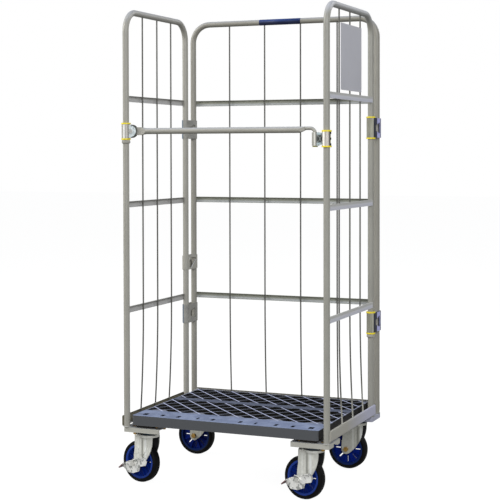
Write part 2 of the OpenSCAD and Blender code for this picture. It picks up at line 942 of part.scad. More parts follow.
module bracket(side, y, d, notched) {
  translate([mid_x + side * bracket_x, y, bracket_low])
    difference() {
      linear_extrude(bracket_h)
        rounded(bracket_l, d, bracket_r);
      translate([0, 0, -1])
        linear_extrude(bracket_h - bracket_wall + 1)
          rounded(bracket_l - 2 * bracket_wall, d - 2 * bracket_wall, bracket_r - bracket_wall);
      translate([-side * bracket_l / 2, 0, -1])
        linear_extrude(bracket_h - bracket_wall + 1)
          square([2 * bracket_r, d - 2 * bracket_r], center = true);
      if (notched)
        translate([side * bracket_l / 2 - bracket_wall - 1, notch_in - d / 2, -1])
          along_x(2 * bracket_wall + 2)
            polygon([[0, 0], [0, notch_h + 1], [notch_l, 0]]);
      for (dx = [-bolt_dx, bolt_dx], dy = [-bolt_dy, bolt_dy])
        translate([side * (swivel_x - bracket_x) + dx, dy, -5])
          cylinder(r = bolt_r + 0.3, h = bracket_h + 10);
    }
}

module front_left_bracket() color("#b4b3a9")
  bracket(-1, front_bracket_y, front_bracket_d, true);

module front_right_bracket() color("#b4b3a9")
  bracket(1, front_bracket_y, front_bracket_d, true);

module rear_left_bracket() color("#b4b3a9")
  bracket(-1, rear_bracket_y, rear_bracket_d, false);

module rear_right_bracket() color("#b4b3a9")
  bracket(1, rear_bracket_y, rear_bracket_d, false);

// ---------- casters, each drawn about its swivel axis with the axle towards -X ----------

module at_corner(k) {
  translate([corners[k][0], corners[k][1], 0])
    rotate([0, 0, corners[k][2]])
      children();
}

module at_axle() {
  translate([-trail, 0, axle_z])
    rotate([90, 0, 0])
      children();
}

// bolt with a low head and a hex nut under the plate; the outer front ones carry a long cap
module caster_bolts(k) {
  plate_low = caster_top - caster_plate_t - 0.2;
  outer = k % 2 == 0 ? -1 : 1;
  translate([corners[k][0], corners[k][1], 0])
    for (sx = [-1, 1], dy = [-bolt_dy, bolt_dy]) {
      low = k < 2 && sx == outer ? fork_top + 0.8 : bracket_low + 1;
      translate([sx * bolt_dx, dy, 0]) {
        translate([0, 0, low])
          cylinder(r = bolt_r, h = bracket_top + 0.4 - low);
        translate([0, 0, plate_low - nut_h])
          cylinder(r = 7.4, h = nut_h, $fn = 6);
        translate([0, 0, low + 1.2])
          cylinder(r = 6.4, h = plate_low - nut_h + 0.5 - low);
        translate([0, 0, bracket_top + 0.2])
          cylinder(r = bolt_head_r, h = 2.4);
      }
    }
}

module fixed_caster_bolts() color("#b8973e")
  for (k = [0, 2, 3])
    caster_bolts(k);

module right_caster_bolts() color("#b8973e")
  caster_bolts(1);

// top plate, bearing race and king pin
module caster_plate(k) {
  translate([corners[k][0], corners[k][1], 0]) {
    difference() {
      translate([0, 0, caster_top - caster_plate_t - 0.1])
        linear_extrude(caster_plate_t)
          rounded(2 * bolt_dx + 22, 2 * bolt_dy + 22, 8);
      for (dx = [-bolt_dx, bolt_dx], dy = [-bolt_dy, bolt_dy])
        translate([dx, dy, caster_top - 20])
          cylinder(r = bolt_r + 0.3, h = 30);
    }
    translate([0, 0, fork_top + 0.4])
      cylinder(r = race_r, h = caster_top - caster_plate_t - fork_top - 0.4);
    translate([0, 0, fork_top + 7])
      cylinder(r = race_r + 6, h = caster_top - caster_plate_t - fork_top - 7);
    translate([0, 0, fork_top - crown_t - 4])
      cylinder(r = pin_r, h = crown_t + 6);
    translate([0, 0, fork_top - crown_t - 6.4])
      cylinder(r = pin_r + 5, h = 6);
  }
}

module fixed_caster_plates() color("#20242c")
  for (k = [0, 2, 3])
    caster_plate(k);

module right_caster_plate() color("#20242c")
  caster_plate(1);

// outline of a fork leg in X and Z: straight behind the axle, swept ahead of it
module leg_outline() {
  foot_r = 18;
  difference() {
    union() {
      translate([-trail, axle_z])
        circle(foot_r);
      intersection() {
        translate([-trail - 55, axle_z + 88])
          circle(121);
        polygon([
          [-trail - foot_r, axle_z],
          [-trail - foot_r + 1, axle_z + 26],
          [leg_left, axle_z + 50],
          [leg_left, fork_top - eps],
          [crown_r, fork_top - eps],
          [crown_r, axle_z - 30],
          [-trail, axle_z - foot_r + 0.5]
        ]);
      }
    }
    translate([-trail, axle_z])
      circle(axle_r + 0.2);
  }
}

module leg_rib_outline() {
  polygon([
    [-trail + 7, fork_top - crown_bend],
    [-trail + 7, axle_z + 36],
    [-trail + 11, axle_z + 28],
    [-trail + 24, axle_z + 28],
    [-trail + 36, axle_z + 42],
    [-trail + 43, axle_z + 62],
    [-trail + 43, fork_top - crown_bend]
  ]);
}

// round-ended boss on the outside of a braked fork's leg
module leg_boss_outline() {
  for (z = [axle_z + 38, axle_z + 49])
    translate([-trail - 4, z])
      circle(7);
  translate([-trail - 11, axle_z + 38])
    square([14, 11]);
}

// an arch in Y and Z that stands below z = 0, with its two upper corners rounded
module arch(half, drop, r) {
  translate([-half + r, -drop])
    square([2 * (half - r), drop]);
  translate([-half, -drop])
    square([2 * half, drop - r]);
  for (s = [-1, 1])
    translate([s * (half - r), -r])
      circle(r);
}

module fork(k, braked) {
  drop = fork_top - axle_z + 20;
  at_corner(k)
    difference() {
      union() {
        intersection() {
          translate([-trail - 30, 0, fork_top])
            along_x(trail + crown_r + 40)
              difference() {
                arch(leg_out, drop, crown_bend);
                translate([0, -crown_t])
                  arch(leg_in, drop, crown_bend - fork_t);
              }
          upright_plate(2 * leg_out + 2)
            leg_outline();
        }
        translate([0, 0, fork_top - crown_t])
          cylinder(r = crown_r, h = crown_t);
        translate([0, 0, fork_top - crown_skirt])
          ring(crown_r, crown_r - 3, crown_skirt);
        for (s = [-1, 1])
          translate([0, s * (leg_out + rib_out / 2 - 0.2), 0])
            upright_plate(rib_out + 0.4)
              leg_rib_outline();
        if (braked)
          translate([0, -leg_out - rib_out / 2 + 0.2, 0])
            upright_plate(rib_out + 0.4)
              leg_boss_outline();
      }
      translate([0, 0, fork_top - crown_t - 1])
        cylinder(r = pin_r + run_fit, h = crown_t + 2);
    }
}

module axle(k, braked) {
  front = braked ? pedal_off + pedal_t + 2.3 : leg_out + 0.2;
  at_corner(k)
    at_axle() {
      translate([0, 0, -leg_out - 9])
        cylinder(r = axle_r, h = leg_out + 9 + front + 1);
      translate([0, 0, front])
        cylinder(r = 9.5, h = head_h, $fn = 6);
      translate([0, 0, -leg_out - 0.2 - head_h])
        cylinder(r = 9.5, h = head_h, $fn = 6);
    }
}

// hub, slotted web and rim
module core(k) {
  at_corner(k)
    at_axle()
      difference() {
        union() {
          cylinder(r = 19, h = hub_w, center = true);
          cylinder(r = core_r, h = 12, center = true);
          difference() {
            cylinder(r = core_r, h = tyre_w - 4, center = true);
            cylinder(r = core_r - 7, h = tyre_w, center = true);
          }
          for (i = [0:7])
            rotate([0, 0, i * 45 + 22.5])
              translate([36, 0, 0])
                cube([40, 3, 24], center = true);
        }
        cylinder(r = axle_r + run_fit, h = hub_w + 2, center = true);
        for (i = [0:7])
          rotate([0, 0, i * 45])
            translate([39, 0, 0])
              cube([24, core_slot_w, 30], center = true);
      }
}

module tyre(k) {
  r = wheel_d / 2;
  in = core_r + seat;
  at_corner(k)
    at_axle()
      rotate_extrude()
        polygon([
          [in, -tyre_w / 2 + 2],
          [in + 3, -tyre_w / 2],
          [r - 6, -tyre_w / 2],
          [r - 2, -tyre_w / 2 + 3],
          [r, -tyre_w / 2 + tyre_round],
          [r, tyre_w / 2 - tyre_round],
          [r - 2, tyre_w / 2 - 3],
          [r - 6, tyre_w / 2],
          [in + 3, tyre_w / 2],
          [in, tyre_w / 2 - 2]
        ]);
}

// stamped pedal with a notched lower edge, a rolled top edge and a tread that stands out
module pedal(k) {
  at_corner(k)
    translate([-trail, 0, axle_z])
      difference() {
        union() {
          translate([0, -pedal_off - pedal_t / 2, 0])
            upright_plate(pedal_t)
              difference() {
                polygon([
                  [-28, 4], [43, 27], [54, 22], [59, 10], [53, -3], [28, -9],
                  [24, -26], [-2, -36], [-30, -35], [-50, -17], [-42, -4]
                ]);
                for (p = [[34, -13], [14, -35], [-14, -41], [-38, -31]])
                  translate(p)
                    circle(5);
              }
          translate([0, -pedal_off - pedal_t - 3, 0])
            upright_plate(8)
              polygon([[-20, 4.1], [43, 24.5], [43, 27], [-20, 6.6]]);
          translate([0, -pedal_off + 2, 0])
            upright_plate(26)
              polygon([[-41, -1], [-39, -4], [-62, -24], [-64, -21]]);
          rotate([90, 0, 0])
            translate([0, 0, pedal_in])
              cylinder(r = 10, h = pedal_off - pedal_in + pedal_t + 2);
        }
        rotate([90, 0, 0])
          cylinder(r = axle_r + run_fit, h = 200, center = true);
      }
}

module fork_front_left() color("#c9ccd0") fork(0, true);
module fork_front_right() color("#c9ccd0") fork(1, true);
module fork_rear_left() color("#c9ccd0") fork(2, false);
module fork_rear_right() color("#c9ccd0") fork(3, false);
module axle_front_left() color("#c9ccd0") axle(0, true);
module axle_front_right() color("#c9ccd0") axle(1, true);
module axle_rear_left() color("#b8973e") axle(2, false);
module axle_rear_right() color("#b8973e") axle(3, false);
module core_front_left() color("#1030a0") core(0);
module core_front_right() color("#1030a0") core(1);
module core_rear_left() color("#1030a0") core(2);
module core_rear_right() color("#1030a0") core(3);
module tyre_front_left() color("#15171a") tyre(0);
module tyre_front_right() color("#15171a") tyre(1);
module tyre_rear_left() color("#15171a") tyre(2);
module tyre_rear_right() color("#15171a") tyre(3);
module pedal_front_left() color("#d8dadd") pedal(0);
module pedal_front_right() color("#d8dadd") pedal(1);

back_frame_tube();
back_cross_bars();
back_rods();
back_bottom_rail();
left_frame_tube();
left_cross_bars();
left_rods();
left_bottom_rail();
left_tie_brackets();
left_loop_link();
front_left_bracket();
rear_left_bracket();
rear_right_bracket();
gate_sleeve();
gate_bushes();
gate_stop_collar();
gate_pivot_bolt();
hinge_straps();
hinge_bushes();
deck_lugs();
deck_pins();
deck_pads();
fixed_caster_bolts();
gate_bar();
right_frame_tube();
right_cross_bars();
right_rods();
right_bottom_rail();
card_plate();
front_right_bracket();
right_deck_pad();
right_caster_bolts();
catch_sleeve();
catch_bushes();
catch_liner();
hinge_collar();
deck();
fixed_caster_plates();
right_caster_plate();
fork_front_left();
fork_front_right();
fork_rear_left();
fork_rear_right();
axle_front_left();
axle_front_right();
axle_rear_left();
axle_rear_right();
core_front_left();
core_front_right();
core_rear_left();
core_rear_right();
tyre_front_left();
tyre_front_right();
tyre_rear_left();
tyre_rear_right();
pedal_front_left();
pedal_front_right();
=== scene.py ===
import json
import math
import random

import bmesh
import bpy
from mathutils import Matrix, Vector


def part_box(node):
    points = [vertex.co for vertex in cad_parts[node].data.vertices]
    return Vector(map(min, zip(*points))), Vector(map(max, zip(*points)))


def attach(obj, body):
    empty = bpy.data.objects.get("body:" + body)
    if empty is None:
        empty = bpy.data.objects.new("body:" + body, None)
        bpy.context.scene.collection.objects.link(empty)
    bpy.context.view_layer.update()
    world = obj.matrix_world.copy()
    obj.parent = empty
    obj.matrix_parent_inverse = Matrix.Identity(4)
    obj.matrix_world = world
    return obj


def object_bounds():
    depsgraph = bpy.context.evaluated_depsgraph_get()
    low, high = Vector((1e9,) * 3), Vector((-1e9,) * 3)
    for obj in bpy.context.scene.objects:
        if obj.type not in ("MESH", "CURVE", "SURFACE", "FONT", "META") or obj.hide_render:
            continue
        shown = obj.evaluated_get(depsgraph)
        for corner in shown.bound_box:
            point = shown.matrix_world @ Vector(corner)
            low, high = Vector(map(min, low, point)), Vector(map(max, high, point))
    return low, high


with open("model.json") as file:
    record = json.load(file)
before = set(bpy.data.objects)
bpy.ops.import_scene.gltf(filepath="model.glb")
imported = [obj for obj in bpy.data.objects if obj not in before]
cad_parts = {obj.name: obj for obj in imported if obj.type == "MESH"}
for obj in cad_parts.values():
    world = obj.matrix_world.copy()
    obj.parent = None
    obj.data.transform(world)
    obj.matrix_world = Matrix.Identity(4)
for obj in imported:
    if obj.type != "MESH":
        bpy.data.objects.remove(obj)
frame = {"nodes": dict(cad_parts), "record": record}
cad_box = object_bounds()
record = frame["record"]
# every length is in metres
MM = 0.001


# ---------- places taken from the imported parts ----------

back_low, back_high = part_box("back_frame_tube")
left_low, left_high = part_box("left_frame_tube")
right_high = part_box("right_frame_tube")[1]
bars_low, bars_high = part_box("back_cross_bars")
deck_low, deck_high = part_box("deck")

TUBE_R = 11 * MM
ROD_R = 2.75 * MM
MID_X = (back_low[0] + back_high[0]) / 2
LEFT_X = left_low[0] + TUBE_R
RIGHT_X = right_high[0] - TUBE_R
FRONT_Y = left_low[1] + TUBE_R
REAR_Y = left_high[1] - TUBE_R
BACK_Y = back_high[1] - TUBE_R
TOP_Z = back_high[2] - TUBE_R

# the cross bars stand at three heights
BAR_H = 21.5 * MM
BAR_LOW = bars_low[2]
BAR_PITCH = (bars_high[2] - BAR_LOW - BAR_H) / 2

# the deck's two fields of lattice, in front of its middle band and behind it
PITCH = 74.5 * MM
RIB_W = 5 * MM
LATTICE_FRONT = deck_low[1] + 108 * MM
BAND_FRONT = LATTICE_FRONT + 3 * PITCH
BAND_REAR = BAND_FRONT + 42 * MM
# from the front edge of each field to its first crossing of ribs
FRONT_FIELD_START = 14.5 * MM
REAR_FIELD_START = 17.8 * MM


# ---------- how a finish is made ----------

class Value:
    """One output of a node. Sums, products and quotients of it add the Math nodes they need."""

    def __init__(self, finish, socket):
        self.finish = finish
        self.socket = socket

    def math(self, operation, first, second=0.0):
        return self.finish.node("ShaderNodeMath", {"operation": operation}, {0: first, 1: second})

    def __add__(self, other):
        return self.math("ADD", self, other)

    def __radd__(self, other):
        return self.math("ADD", other, self)

    def __sub__(self, other):
        return self.math("SUBTRACT", self, other)

    def __rsub__(self, other):
        return self.math("SUBTRACT", other, self)

    def __mul__(self, other):
        return self.math("MULTIPLY", self, other)

    def __rmul__(self, other):
        return self.math("MULTIPLY", other, self)

    def __truediv__(self, other):
        return self.math("DIVIDE", self, other)

    def __abs__(self):
        return self.math("ABSOLUTE", self)

    def root(self):
        return self.math("SQRT", self)

    def fraction(self):
        return self.math("FRACT", self)

    def above(self, other):
        return self.math("GREATER_THAN", self, other)

    def below(self, other):
        return self.math("LESS_THAN", self, other)


class Finish:
    """A material with one Principled shader and the nodes that feed it."""

    def __init__(self, name):
        self.material = bpy.data.materials.new(name)
        self.material.use_nodes = True
        self.nodes = self.material.node_tree.nodes
        self.links = self.material.node_tree.links
        self.nodes.clear()
        self.shader = self.nodes.new("ShaderNodeBsdfPrincipled")
        self.output = self.nodes.new("ShaderNodeOutputMaterial")
        self.links.new(self.shader.outputs[0], self.output.inputs[0])

    def feed(self, socket, value):
        if isinstance(value, Value):
            self.links.new(value.socket, socket)
        else:
            socket.default_value = value

    def node(self, kind, settings=None, sockets=None, out=0):
        made = self.nodes.new(kind)
        for name, value in (settings or {}).items():
            setattr(made, name, value)
        for key, value in (sockets or {}).items():
            self.feed(made.inputs[key], value)
        return Value(self, made.outputs[out])

    def place(self):
        """Where a point lies, in metres, while everything is at rest."""
        return self.node("ShaderNodeTexCoord", out="Object")

    def box_place(self):
        """Where a point lies in its piece's own box, from 0 to 1 along each side."""
        return self.node("ShaderNodeTexCoord", out="Generated")

    def facing(self):
        """Which way the surface looks, as a vector 1 long."""
        return self.node("ShaderNodeNewGeometry", out="Normal")

    def axes(self, vector):
        split = self.nodes.new("ShaderNodeSeparateXYZ")
        self.feed(split.inputs[0], vector)
        return [Value(self, out) for out in split.outputs]

    def vector_math(self, operation, first, second, out):
        return self.node("ShaderNodeVectorMath", {"operation": operation}, {0: first, 1: second}, out)

    def distance(self, first, second):
        return self.vector_math("DISTANCE", first, second, "Value")

    def noise(self, scale, detail, roughness=0.55, stretch=1.0):
        """Noise of that many swells to the metre; stretch draws it out along the height."""
        spot = self.vector_math("MULTIPLY", self.place(), (1, 1, 1 / stretch), "Vector")
        return self.node(
            "ShaderNodeTexNoise",
            None,
            {"Vector": spot, "Scale": scale, "Detail": detail, "Roughness": roughness},
        )

    def spread(self, value, low, high):
        """0 at low, 1 at high, an even run between them and flat beyond."""
        return self.node(
            "ShaderNodeMapRange",
            {"clamp": True},
            {"Value": value, "From Min": low, "From Max": high},
        )

    def patches(self, scale, detail, low, high):
        """Noise whose troughs are cut to 0 and whose crests are cut to 1."""
        return self.spread(self.noise(scale, detail), low, high)

    def blend(self, factor, first, second):
        return self.node("ShaderNodeMix", {"data_type": "RGBA"}, {0: factor, 6: first, 7: second}, out=2)

    def bump(self, height, distance, strength):
        return self.node(
            "ShaderNodeBump",
            None,
            {"Height": height, "Distance": distance, "Strength": strength},
        )

    def grain(self, scale, detail, depth, strength):
        """A bump made of noise, of that depth."""
        return self.bump(self.noise(scale, detail), depth, strength)

    def surface(self, **sockets):
        """Sets the shader's inputs by name and hands back the finished material."""
        for name, value in sockets.items():
            self.feed(self.shader.inputs[name.replace("_", " ")], value)
        return self.material


def rgb(red, green, blue):
    return (red, green, blue, 1.0)


# ---------- painted steel ----------

def powder_coat(name, tone, shade, gloss=0.4, crest=0.0):
    """Powder coat with a faint mottle, rubbed spots and an orange-peel skin; painted sky sheen on what faces
    up and painted shade on what faces down.

    crest sets the strength of a pale painted highlight along a bent tube's top run.
    """
    worn = rgb(0.42, 0.41, 0.37)
    painted_sky_sheen = rgb(0.38, 0.41, 0.48)
    painted_crest_highlight = rgb(0.60, 0.61, 0.68)
    painted_underside_shade = rgb(0.09, 0.085, 0.06)
    f = Finish(name)
    mottle = f.patches(7.0, 4.0, 0.35, 0.65)
    rubbed = f.patches(38.0, 6.0, 0.62, 0.75)
    up = f.axes(f.facing())[2]
    colour = f.blend(mottle, shade, tone)
    colour = f.blend(rubbed * 0.25, colour, worn)
    # painted sky sheen: what faces up is drawn towards a pale blue
    colour = f.blend(f.spread(up, 0.25, 0.85) * 0.55, colour, painted_sky_sheen)
    if crest:
        # painted highlight along the top run of a bent tube
        high = f.spread(f.axes(f.place())[2], TOP_Z - 40 * MM, TOP_Z - 12 * MM)
        colour = f.blend(high * crest, colour, painted_crest_highlight)
    # painted shade: what faces down is drawn towards a dark grey
    colour = f.blend(f.spread(up, 0.1, -0.8) * 0.55, colour, painted_underside_shade)
    return f.surface(
        Base_Color=colour,
        Roughness=gloss + 0.10 * mottle + 0.12 * rubbed,
        Normal=f.grain(900.0, 2.0, 0.05 * MM, 0.35),
    )


def pressed_bar(name, dark, middle, bright):
    """A powder-coated channel bar: painted shade under its top lip, a painted highlight on its rounded lower
    lip.
    """
    f = Finish(name)
    # every bar's height runs from 0 to 1; the count of bars starts just below each foot
    ahead = 0.01
    bars_up = (f.axes(f.place())[2] - BAR_LOW) / BAR_PITCH
    height = (bars_up + ahead).fraction() * (BAR_PITCH / BAR_H) - ahead * BAR_PITCH / BAR_H
    mottle = f.patches(9.0, 4.0, 0.35, 0.65)
    # painted shade under the top lip, in the dark colour
    colour = f.blend(f.spread(height, 0.72, 0.5), dark, middle)
    # painted highlight on the lower lip, in the bright colour
    colour = f.blend(f.spread(height, 0.42, 0.34), colour, bright)
    colour = f.blend(f.spread(height, 0.1, 0.02), colour, middle)
    colour = f.blend(mottle * 0.15, colour, dark)
    return f.surface(
        Base_Color=colour,
        Roughness=0.42 + 0.12 * mottle,
        Normal=f.grain(900.0, 2.0, 0.06 * MM, 0.6),
    )


def rod_coat(name, foot):
    """Dull coat of the wire rods; foot is how pale they are near the bottom rail."""
    tone = rgb(0.105, 0.103, 0.09)
    shade = rgb(0.082, 0.08, 0.07)
    worn = rgb(0.17, 0.165, 0.145)
    pale = rgb(0.38, 0.375, 0.335)
    f = Finish(name)
    mottle = f.patches(7.0, 4.0, 0.35, 0.65)
    scuff = f.patches(60.0, 5.0, 0.6, 0.72)
    low = f.spread(f.axes(f.place())[2], deck_high[2] + 110 * MM, deck_high[2] + 20 * MM)
    colour = f.blend(mottle, shade, tone)
    colour = f.blend(scuff * 0.3, colour, worn)
    colour = f.blend(low * foot, colour, pale)
    return f.surface(
        Base_Color=colour,
        Roughness=0.45 + 0.1 * mottle,
        Normal=f.grain(900.0, 2.0, 0.05 * MM, 0.35),
    )


def outer_rail():
    """The right rail's coat: warm grey in front, cooler and paler towards the rear."""
    tone = rgb(0.36, 0.35, 0.305)
    shade = rgb(0.335, 0.325, 0.28)
    cool = rgb(0.42, 0.425, 0.54)
    f = Finish("right_rail_paint")
    mottle = f.patches(7.0, 4.0, 0.35, 0.65)
    rear = f.spread(f.axes(f.place())[1], REAR_Y - 330 * MM, REAR_Y - 90 * MM)
    colour = f.blend(mottle, shade, tone)
    colour = f.blend(rear, colour, cool)
    return f.surface(
        Base_Color=colour,
        Roughness=0.4 + 0.1 * mottle,
        Normal=f.grain(900.0, 2.0, 0.06 * MM, 0.6),
    )


def tie_paint():
    """Tie brackets: darker, scuffed coat, dark blue on the sides that face outwards."""
    tone = rgb(0.32, 0.315, 0.285)
    shade = rgb(0.25, 0.245, 0.225)
    bare = rgb(0.08, 0.08, 0.07)
    outward_dark_blue = rgb(0.10, 0.14, 0.19)
    f = Finish("tie_paint")
    mottle = f.patches(30.0, 4.0, 0.35, 0.65)
    scuff = f.patches(150.0, 4.0, 0.58, 0.66)
    outward = f.spread(f.axes(f.facing())[0], -0.1, -0.45)
    colour = f.blend(mottle, shade, tone)
    colour = f.blend(scuff * 0.7, colour, bare)
    colour = f.blend(outward, colour, outward_dark_blue)
    return f.surface(
        Base_Color=colour,
        Roughness=0.42 + 0.12 * mottle,
        Normal=f.grain(900.0, 2.0, 0.06 * MM, 0.6),
    )


# ---------- zinc ----------

# from a sleeve's middle to where its cheek begins
SLEEVE_REACH = 15.6 * MM

# in these finishes, side says how far a surface looks to the right: 1 is fully right, -1 fully left


def zinc_plate(name, tone, shade, gloss, metal):
    """Plated steel: cloudy spangle, a fine grain and a little dulling."""
    f = Finish(name)
    spangle = f.patches(160.0, 3.0, 0.3, 0.7)
    cloud = f.patches(28.0, 4.0, 0.35, 0.65)
    return f.surface(
        Base_Color=f.blend(spangle * 0.6 + cloud * 0.4, shade, tone),
        Metallic=metal,
        Roughness=gloss + 0.12 * cloud + 0.05 * spangle,
        Normal=f.grain(700.0, 3.0, 0.08 * MM, 0.5),
    )


def sleeve_zinc(f, tone, shade):
    """Colour of a drawn zinc sleeve, with fine lines along its height."""
    line = f.spread(f.noise(260.0, 3.0, 0.6, 16.0), 0.35, 0.65)
    return f.blend(line, shade, tone)


def hinge_zinc():
    """Hinge straps: a brassy zinc sleeve with a painted highlight and painted shade on its right edge, and a
    blue-plated cheek whose dark margins are painted shade.
    """
    glint = rgb(0.60, 0.59, 0.50)
    painted_edge_shade = rgb(0.012, 0.015, 0.035)
    blue = rgb(0.43, 0.44, 0.78)
    pale_blue = rgb(0.75, 0.75, 0.92)
    painted_margin_shade = rgb(0.010, 0.013, 0.035)
    glint_side = 0.74
    # from the rear tube, the cheek is blue between these two reaches and dark with painted shade outside
    # them
    blue_from, blue_to = 31 * MM, 67 * MM
    f = Finish("hinge_zinc")
    reach = f.axes(f.place())[1] - REAR_Y
    side = f.axes(f.facing())[0]
    scratch = f.patches(130.0, 4.0, 0.5, 0.66)
    sleeve = sleeve_zinc(f, rgb(0.35, 0.345, 0.28), rgb(0.22, 0.22, 0.175))
    sleeve = f.blend(f.spread(abs(side - glint_side), 0.14, 0.05) * 0.8, sleeve, glint)
    # painted shade on the sleeve's right edge
    sleeve = f.blend(f.spread(side, 0.87, 0.94), sleeve, painted_edge_shade)
    # painted shade on the cheek's margins and on its faces that look sideways
    near_margin = f.spread(reach, blue_from, blue_from - 4 * MM)
    far_margin = f.spread(reach, blue_to, blue_to + 5 * MM)
    edges = f.spread(abs(side), 0.85, 0.6)
    cheek = f.blend(scratch * 0.5, blue, pale_blue)
    cheek = f.blend(near_margin + far_margin + edges, cheek, painted_margin_shade)
    on_cheek = reach.above(SLEEVE_REACH)
    return f.surface(
        Base_Color=f.blend(on_cheek, sleeve, cheek),
        Metallic=0.35 - 0.3 * on_cheek,
        Roughness=0.45 + 0.12 * scratch,
        Specular_IOR_Level=0.3,
        Normal=f.grain(500.0, 3.0, 0.08 * MM, 0.4),
    )


def catch_zinc():
    """Catch: a zinc sleeve, a dark plate with pale ends and a pressed cross, and a bright socket; the
    plate's pale ends and paler cross are painted highlights, and the socket carries stripes of painted
    highlight and painted shade.
    """
    f = Finish("catch_zinc")
    low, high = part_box("catch_sleeve")
    x, _, z = f.axes(f.place())
    side = f.axes(f.facing())[0]

    glint = rgb(0.95, 0.92, 0.85)
    glint_side = -0.38
    shadow = rgb(0.022, 0.024, 0.014)
    sleeve = sleeve_zinc(f, rgb(0.60, 0.56, 0.51), rgb(0.42, 0.39, 0.35))
    sleeve = f.blend(f.spread(abs(side - glint_side), 0.3, 0.15), sleeve, glint)
    sleeve = f.blend(f.spread(side, 0.74, 0.86), sleeve, shadow)

    plate_middle = RIGHT_X - 23.5 * MM
    plate_dark = rgb(0.09, 0.10, 0.095)
    painted_plate_end_highlight = rgb(0.55, 0.64, 0.67)
    cross_tone = rgb(0.36, 0.38, 0.37)
    cross_slope = 1.8
    cross_line = 2.0 * MM
    off_middle = abs(z - (low[2] + high[2]) / 2)
    cross = abs(abs(x - plate_middle) * cross_slope - off_middle).below(cross_line)
    # painted bluish highlight on the plate's top and bottom ends
    plate = f.blend(f.spread(off_middle, 11 * MM, 15 * MM), plate_dark, painted_plate_end_highlight)
    # the pressed cross drawn paler, as a painted highlight
    plate = f.blend(cross, plate, cross_tone)

    # the socket's stripes of painted highlight and painted shade, and the painted shade on its far side, are
    # measured from the catch's left end
    socket_end = low[0] + 17.5 * MM
    painted_shade_stripe = f.spread(abs(x - low[0] - 4.8 * MM), 2 * MM, 1 * MM)
    painted_highlight_stripe = f.spread(abs(x - low[0] - 8.5 * MM), 3 * MM, 1.5 * MM)
    painted_far_side_shade = f.spread(x, socket_end - 3 * MM, socket_end - 1 * MM)
    socket = sleeve_zinc(f, rgb(0.55, 0.54, 0.49), rgb(0.36, 0.35, 0.31))
    socket = f.blend(painted_highlight_stripe, socket, rgb(0.88, 0.87, 0.80))
    socket = f.blend(painted_shade_stripe * 0.7, socket, rgb(0.16, 0.16, 0.13))
    socket = f.blend(painted_far_side_shade, socket, rgb(0.10, 0.105, 0.10))

    sleeve_end = RIGHT_X - 16 * MM
    colour = f.blend(x.above(socket_end), socket, plate)
    colour = f.blend(x.above(sleeve_end), colour, sleeve)
    return f.surface(
        Base_Color=colour,
        Metallic=0.25,
        Roughness=0.45,
        Specular_IOR_Level=0.3,
        Normal=f.grain(500.0, 3.0, 0.08 * MM, 0.4),
    )


def gate_zinc():
    """Gate sleeve: warm zinc with one painted highlight line and painted shade on its right side, and pale
    round cheeks, pale partly from their zinc and partly from painted reflection, with painted shade along
    the right of the rim.
    """
    glint = rgb(0.95, 0.94, 0.90)
    shadow = rgb(0.14, 0.14, 0.12)
    pale = rgb(0.78, 0.86, 0.87)
    scratched = rgb(0.22, 0.27, 0.30)
    rim_tone = rgb(0.09, 0.095, 0.085)
    f = Finish("gate_zinc")
    bolt_low, bolt_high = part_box("gate_pivot_bolt")
    bolt_x = (bolt_low[0] + bolt_high[0]) / 2
    bolt_z = (bolt_low[2] + bolt_high[2]) / 2
    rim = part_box("gate_sleeve")[1][0] - bolt_x
    x, _, z = f.axes(f.place())
    side = f.axes(f.facing())[0]
    right = x - bolt_x
    rise = z - bolt_z
    radius = (right * right + rise * rise).root()
    scratch = f.patches(120.0, 4.0, 0.55, 0.62)
    sleeve = sleeve_zinc(f, rgb(0.47, 0.455, 0.41), rgb(0.36, 0.35, 0.315))
    sleeve = f.blend(f.spread(abs(side), 0.3, 0.12), sleeve, glint)
    sleeve = f.blend(f.spread(side, 0.8, 0.92), sleeve, shadow)
    # painted shade on the right side of the cheek's rim
    painted_rim_shade = f.spread(radius, rim - 4.5 * MM, rim - 2.5 * MM) * right.above(0)
    # the cheek's pale tone is partly its zinc and partly painted reflection
    cheek = f.blend(scratch * 0.75, pale, scratched)
    cheek = f.blend(painted_rim_shade, cheek, rim_tone)
    return f.surface(
        Base_Color=f.blend(x.above(LEFT_X + SLEEVE_REACH), sleeve, cheek),
        Metallic=0.25,
        Roughness=0.42 + 0.1 * scratch,
        Specular_IOR_Level=0.3,
        Normal=f.grain(500.0, 3.0, 0.08 * MM, 0.4),
    )


